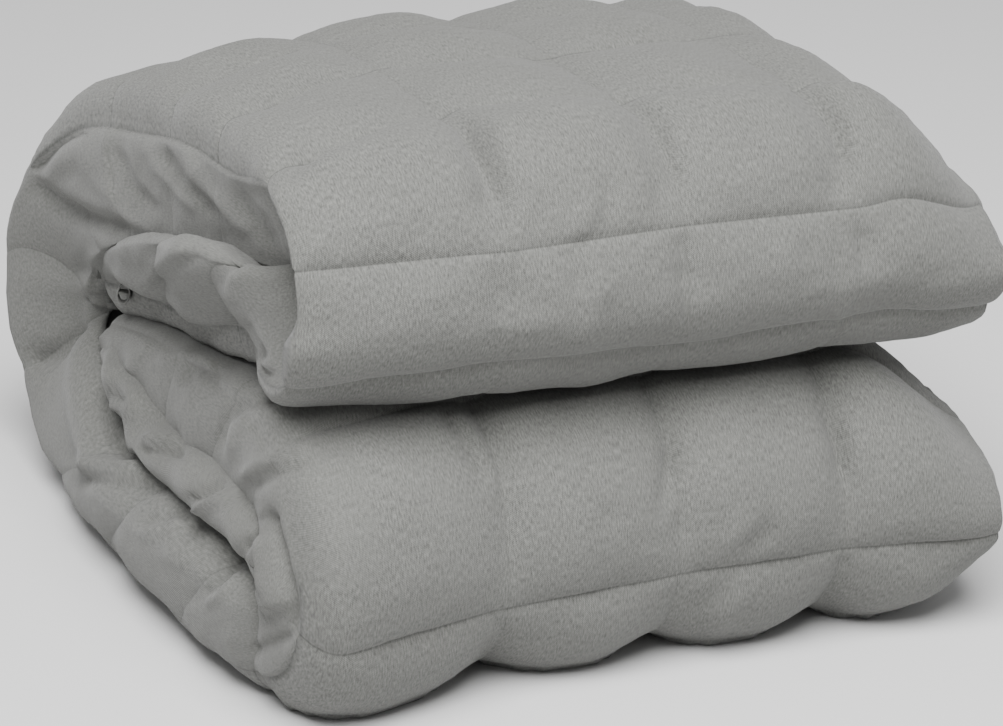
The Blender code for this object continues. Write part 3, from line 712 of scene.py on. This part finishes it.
    def press_folds(self, folds):
        """Rise of the folds and dents that were read from the photograph, in squares."""
        pixel, facing = self.shown_at()
        rise = np.zeros(self.rows.shape + self.outline.x.shape)
        rows = self.rows[:, None]
        for fold in folds:
            stretch = STRETCHES[fold.on]
            on_it = (rows >= stretch.low) & (rows <= stretch.high)
            on_it = np.isin(self.outline.part, stretch.parts) & on_it
            near, run = distance_to_line(pixel, np.array(fold.route, float))
            ends = np.clip(np.minimum(run, 1 - run) * 7 + 0.2, 0, 1)
            shape = np.exp(-(near / fold.width) ** 2) * ends * smoothstep(0.0, 0.15, facing)
            rise += np.where(on_it, fold.rise / 1000 / SQUARE * shape, 0.0)
        return rise

    def unevenness(self, pitch, seed):
        """Soft lumps of the filling on every side that shows, with the given pitch in squares."""
        outer = np.isin(self.outline.part, ("face", "right", "fold"))
        return np.where(outer, waves(self.points / SQUARE, pitch, seed), 0.0)

    def displace(self, rise):
        self.points = self.points + self.normals * (rise * SQUARE)[..., None]


# ---- meshes --------------------------------------------------------------------------------------
def add_mesh(name, points, faces, material):
    mesh = bpy.data.meshes.new(name)
    mesh.from_pydata(points.tolist(), [], faces)
    mesh.update()
    mesh.shade_smooth()
    mesh.materials.append(material)
    thing = bpy.data.objects.new(name, mesh)
    bpy.context.scene.collection.objects.link(thing)
    return thing


def grid_faces(rings, places):
    """Quads of a tube of rings, and a cap at each end."""
    near = np.arange(rings - 1)[:, None] * places + np.arange(places)
    side = np.roll(np.arange(places), -1)[None, :] + np.arange(rings - 1)[:, None] * places
    quads = np.stack([near, side, side + places, near + places], axis=-1).reshape(-1, 4)
    faces = quads.tolist()
    faces.append(list(reversed(range(places))))
    faces.append(list(range((rings - 1) * places, rings * places)))
    return faces


def laid_flat(surface, points):
    """Where each point lies on the cloth when the cloth is laid flat, in metres."""
    part = surface.outline.part
    laid = np.zeros(points.shape)
    laid[..., 0] = surface.outline.laid_width() * SQUARE
    laid[..., 1] = surface.distance * SQUARE
    # the hem and the right fold: by their real length round the strip
    around = np.cumsum(np.linalg.norm(np.diff(points, axis=1, append=points[:, :1]), axis=-1), axis=1)
    laid[..., 0] = np.where(part == "hem", around, laid[..., 0])
    corner = np.argmax(part == "right") - 1
    past_corner = LAST_COLUMN * SQUARE + around - around[:, corner:corner + 1]
    laid[..., 0] = np.where(part == "right", past_corner, laid[..., 0])
    return laid


def quilting_and_line_shade(surface, shape):
    """The quilting coordinates with the weave's contrast, and how strongly both seams' stitched lines,
    with their painted crease shade, show.
    """
    part, rows, across = surface.outline.part, surface.rows[:, None], surface.outline.across()
    turned_in = (rows > TURNED_IN_ROW) & (surface.outline.x < -TURNED_IN_REACH)
    quilting = np.zeros(shape)
    quilting[..., 0] = across
    quilting[..., 1] = rows
    contrast = np.where((part == "fold") | turned_in, FOLD_CONTRAST, 1.0)
    quilting[..., 2] = np.where((part == "hem") & ~turned_in, 0.0, contrast)
    column_line_strength = COLUMN_LINE_SHADE + EDGE_LINE_SHADE * np.maximum(np.abs(across) - EDGE_BEGINS, 0)
    faint = sum(np.exp(-(rows - row) ** 2 / FAINT_RUN) for row in FAINT_BETWEEN)
    # strengths of the darker stitched lines: the thread, and painted shade of the seams' creases
    stitch_and_crease_shade = np.zeros(shape)
    stitch_and_crease_shade[..., 0] = np.where((part == "hem") | turned_in, 0.0, column_line_strength) * quilting[..., 2]
    stitch_and_crease_shade[..., 1] = (1 - FAINT_ROWS * faint) * quilting[..., 2]
    return quilting, stitch_and_crease_shade


def make_blanket(material):
    surface = BlanketSurface()
    rise = surface.quilt() + surface.press_folds(FOLDS)
    rise += sum(height * surface.unevenness(pitch, seed) for height, pitch, seed in LUMPS)
    surface.displace(rise)
    points = surface.points
    points[..., 2] = np.where(points[..., 2] < FLOOR_PRESS * SQUARE, 0.0, points[..., 2])
    faces = grid_faces(*points.shape[:2])
    blanket = add_mesh("blanket_cloth", points.reshape(-1, 3), faces, material)
    quilting, stitch_and_crease_shade = quilting_and_line_shade(surface, points.shape)
    lay_attribute(blanket, "cloth", laid_flat(surface, points))
    lay_attribute(blanket, "quilting", quilting)
    lay_attribute(blanket, "stitch_and_crease_shade", stitch_and_crease_shade)
    return blanket


def tape_sections(path, normals, width, thickness, closed):
    """Points and faces of a tape along a path in the XZ plane, with rounded edges."""
    rim = [math.radians(angle) for angle in range(0, 360, 30)]
    flat = [(math.copysign(abs(math.cos(a)) ** 0.4, math.cos(a)), math.sin(a)) for a in rim]
    points = [[x + nx * thickness / 2 * up, width / 2 * side, z + nz * thickness / 2 * up]
              for (x, z), (nx, nz) in zip(path, normals) for side, up in flat]
    count = len(rim)
    rings = len(path)
    faces = []
    for i in range(rings if closed else rings - 1):
        for j in range(count):
            here, there = i * count, (i + 1) % rings * count
            side = (j + 1) % count
            faces.append((here + j, here + side, there + side, there + j))
    if not closed:
        faces.append(tuple(range(count - 1, -1, -1)))
        faces.append(tuple(range((rings - 1) * count, rings * count)))
    return points, faces


def make_loop(material):
    """The sewn corner loop: an oval ring of flat tape, tacked together across its middle."""
    angles = [2 * math.pi * step / 36 for step in range(36)]
    path = [(LOOP_RADIUS * math.cos(a), LOOP_RADIUS * LOOP_STRETCH * math.sin(a)) for a in angles]
    lean = [math.hypot(LOOP_STRETCH * math.cos(a), math.sin(a)) for a in angles]
    normals = [(LOOP_STRETCH * math.cos(a) / long, math.sin(a) / long) for a, long in zip(angles, lean)]
    points, faces = tape_sections(path, normals, LOOP_WIDTH, LOOP_TAPE, closed=True)
    tack = [(LOOP_RADIUS * share, LOOP_TACK) for share in (-0.97, -0.5, 0.0, 0.5, 0.97)]
    more, sides = tape_sections(tack, [(0, 1)] * len(tack), LOOP_WIDTH * TACK_WIDTH,
                                LOOP_TAPE * TACK_THICKNESS, closed=False)
    faces += [tuple(corner + len(points) for corner in face) for face in sides]
    points += more
    laid = np.array(points)
    lean_over = Matrix.Rotation(math.radians(LOOP_LEAN), 3, "Y")
    turned = Matrix.Rotation(math.radians(LOOP_TURN), 3, "Z") @ lean_over
    placed = laid @ np.array(turned).T + (np.array(LOOP_PLACE) - MIDDLE * (1, 1, 0)) * SQUARE
    loop = add_mesh("loop_tape", placed, faces, material)
    lay_attribute(loop, "cloth", laid[:, [1, 2, 0]])
    return loop


def lay_attribute(thing, name, values):
    """Three numbers at each point of a mesh, for its material to read."""
    attribute = thing.data.attributes.new(name, "FLOAT_VECTOR", "POINT")
    attribute.data.foreach_set("vector", values.ravel())


# ---- materials -----------------------------------------------------------------------------------
class Value:
    """A socket of a shader node that can stand in a sum, a product or a comparison."""

    def __init__(self, shader, socket):
        self.shader = shader
        self.socket = socket

    def math(self, operation, first, second):
        return self.shader.make("ShaderNodeMath", {"operation": operation}, {0: first, 1: second})

    def __add__(self, other):
        return self.math("ADD", self, other)

    def __radd__(self, other):
        return self.math("ADD", other, self)

    def __sub__(self, other):
        return self.math("SUBTRACT", self, other)

    def __rsub__(self, other):
        return self.math("SUBTRACT", other, self)

    def __mul__(self, other):
        return self.math("MULTIPLY", self, other)

    def __rmul__(self, other):
        return self.math("MULTIPLY", other, self)

    def at_least(self, other):
        return self.math("MAXIMUM", self, other)

    def __mod__(self, other):
        return self.math("FLOORED_MODULO", self, other)

    def sine(self):
        return self.math("SINE", self, 0.0)

    def absolute(self):
        return self.math("ABSOLUTE", self, 0.0)


class Shader:
    """A material's node tree and its Principled BSDF."""

    def __init__(self, name):
        self.material = bpy.data.materials.new(name)
        self.material.use_nodes = True
        self.tree = self.material.node_tree
        self.surface = self.tree.nodes["Principled BSDF"]

    def make(self, kind, settings, inputs, output=0):
        """A node with its settings and its inputs' values or links; gives one of its outputs."""
        node = self.tree.nodes.new(kind)
        for setting, value in settings.items():
            setattr(node, setting, value)
        for name, value in inputs.items():
            self.put(node.inputs[name], value)
        return Value(self, node.outputs[output])

    def put(self, socket, value):
        if isinstance(value, Value):
            self.tree.links.new(value.socket, socket)
        else:
            socket.default_value = value

    def attribute(self, name):
        """The three numbers of a mesh attribute, and the vector itself."""
        vector = self.make("ShaderNodeAttribute", {"attribute_name": name}, {}, "Vector")
        parts = [self.make("ShaderNodeSeparateXYZ", {}, {0: vector}, i) for i in range(3)]
        return parts[0], parts[1], parts[2], vector

    def noise(self, vector, scale):
        inputs = {"Vector": vector, "Scale": scale, "Detail": 2.0, "Roughness": 0.55}
        return self.make("ShaderNodeTexNoise", {}, inputs)

    def stretch(self, vector, amounts):
        return self.make("ShaderNodeVectorMath", {"operation": "MULTIPLY"}, {0: vector, 1: amounts})

    def scaled_colour(self, colour, brightness):
        """A colour times a brightness that varies."""
        grey = self.make("ShaderNodeCombineXYZ", {}, {0: brightness, 1: brightness, 2: brightness})
        return self.make("ShaderNodeVectorMath", {"operation": "MULTIPLY"}, {0: grey, 1: colour})


YARN_PITCH = 0.0011        # one twill rib to the next, metres
BLANKET_COLOUR = (0.119, 0.120, 0.1125)
LOOP_COLOUR = (0.138, 0.139, 0.131)
STITCH = 0.026             # one stitch to the next, in squares
FOLD_CONTRAST = 0.45       # how strongly yarns, and stitched lines with their painted shade, show on the left folds, over the faces
SEAM_LINE_HALF_WIDTH = 0.011             # half width of a stitched line with the painted shade of its crease, in squares
SEAM_LINE_PAINTED_SHADE = 0.42        # how much darker a stitched line is than the cloth: its thread, and painted shade of the seam's crease
COLUMN_LINE_SHADE = 0.22       # how strongly the columns' stitched lines and their painted shade show, over the rows'
EDGE_BEGINS, EDGE_LINE_SHADE = 1.85, 4.0     # |column| past which they show more, and by how much a square
FAINT_BETWEEN, FAINT_RUN = (-1, 13), 0.1 # the rows that lie between the rolls, and how far that reaches
FAINT_ROWS = 0.65          # how much fainter the stitched lines and their painted shade are there
TURNED_IN_ROW, TURNED_IN_REACH = 12.3, 1.7   # row and |x| past which the cloth is the turned-in end's
CONTRAST, HEM_CONTRAST = 1.65, 0.6       # how strongly the slubs show on the faces and on a plain hem
SLUBS, WEFTS = (1500.0, 290.0, 1.0), (260.0, 1500.0, 1.0)    # how fine they are each way, per metre
HEATHER, CLOUDS = 420.0, 28.0            # how fine the two kinds of unevenness in the dye are


def twill(name, colour, quilted):
    """Heathered grey twill: slubby yarns along the cloth, fine ribs, and seam lines darkened by thread
    and painted crease shade.
    """
    shader = Shader(name)
    u, v, _, cloth = shader.attribute("cloth")
    slubs = shader.noise(shader.stretch(cloth, SLUBS), 1.0)
    wefts = shader.noise(shader.stretch(cloth, WEFTS), 1.0)
    heather = shader.noise(cloth, HEATHER)
    clouds = shader.noise(cloth, CLOUDS)
    ribs = ((u + v) * (2 * math.pi / YARN_PITCH)).sine()
    contrast = CONTRAST
    if quilted:
        across, row, outer, _ = shader.attribute("quilting")
        contrast = HEM_CONTRAST + outer * (CONTRAST - HEM_CONTRAST)
    shade = (1.0 + (slubs - 0.5) * contrast + (wefts - 0.5) * 0.30 + (heather - 0.5) * 0.25
             + (clouds - 0.5) * 0.16 + ribs * 0.03)
    height = slubs * 0.5 + wefts * 0.25 + ribs * 0.18
    if quilted:
        gap_x = ((across + 0.5) % 1.0 - 0.5).absolute()
        gap_y = ((row + 0.5) % 1.0 - 0.5).absolute()
        line_x = (1.0 - gap_x * (1 / SEAM_LINE_HALF_WIDTH)).at_least(0.0)
        line_y = (1.0 - gap_y * (1 / SEAM_LINE_HALF_WIDTH)).at_least(0.0)
        shade_on_columns, shade_on_rows, _, _ = shader.attribute("stitch_and_crease_shade")
        dash_y = 0.80 + 0.20 * (across * (2 * math.pi / STITCH)).sine()
        # stitched lines: the thread, and painted shade of the creases that the stitches pull in
        stitched_and_shaded = line_x * shade_on_columns + line_y * dash_y * shade_on_rows
        shade = shade * (1.0 - stitched_and_shaded * SEAM_LINE_PAINTED_SHADE)
        height = height - stitched_and_shaded * 0.6
    shader.put(shader.surface.inputs["Base Color"], shader.scaled_colour(colour, shade))
    bump = shader.make("ShaderNodeBump", {}, {"Strength": 0.55, "Distance": 0.0005, "Height": height})
    shader.put(shader.surface.inputs["Normal"], bump)
    shader.surface.inputs["Roughness"].default_value = 0.92
    shader.surface.inputs["Specular IOR Level"].default_value = 0.25
    shader.surface.inputs["Sheen Weight"].default_value = 0.12
    shader.surface.inputs["Sheen Roughness"].default_value = 0.5
    return shader.material


def plain_material(name, colour, roughness):
    shader = Shader(name)
    shader.surface.inputs["Base Color"].default_value = (*colour, 1.0)
    shader.surface.inputs["Roughness"].default_value = roughness
    return shader.material


# ---- studio ----------------------------------------------------------------------------------------
KEY_PLACE, KEY_SIZE, KEY_WATTS = (-0.55, -1.4, 2.5), 2.2, 232    # the lamp: metres and watts
KEY_AIM = (0, 0, 0.15)
SKY = 0.48                 # strength of the white sky
FLOOR_SHADE = 0.6
FLOOR_HALF = 6.0           # half its side, metres
FLOOR_DROP = 0.0004        # how far it lies below the blanket, metres


def make_camera():
    data = bpy.data.cameras.new("camera")
    data.lens = CAMERA_LENS
    data.sensor_width = CAMERA_SENSOR
    data.clip_end = 50.0
    camera = bpy.data.objects.new("camera", data)
    camera.location = CAMERA_PLACE
    camera.rotation_euler = (math.pi / 2 + CAMERA_PITCH, 0.0, CAMERA_YAW)
    bpy.context.scene.collection.objects.link(camera)
    bpy.context.scene.camera = camera


def make_floor():
    white = plain_material("floor white", (FLOOR_SHADE,) * 3, 0.9)
    corners = np.array([(-1, -1, 0), (1, -1, 0), (1, 1, 0), (-1, 1, 0)]) * FLOOR_HALF
    floor = add_mesh("floor", corners - (0, 0, FLOOR_DROP), [(0, 1, 2, 3)], white)


def add_area_light(name, place, aim, size, watts):
    data = bpy.data.lights.new(name, "AREA")
    data.shape = "DISK"
    data.size = size
    data.energy = watts
    light = bpy.data.objects.new(name, data)
    light.location = place
    light.rotation_euler = (Vector(aim) - Vector(place)).to_track_quat("-Z", "Y").to_euler()
    bpy.context.scene.collection.objects.link(light)


def make_studio():
    world = bpy.data.worlds.new("studio")
    bpy.context.scene.world = world
    world.use_nodes = True
    world.node_tree.nodes["Background"].inputs["Color"].default_value = (1.0, 1.0, 1.0, 1.0)
    world.node_tree.nodes["Background"].inputs["Strength"].default_value = SKY
    add_area_light("key", KEY_PLACE, KEY_AIM, KEY_SIZE, KEY_WATTS)


# ---- the scene -----------------------------------------------------------------------------------
make_camera()
blanket = make_blanket(twill("blanket twill", BLANKET_COLOUR, quilted=True))
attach(blanket, "root")
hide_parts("blanket")
loop = make_loop(twill("loop tape weave", LOOP_COLOUR, quilted=False))
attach(loop, "root")
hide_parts("corner_loop")
make_floor()
make_studio()
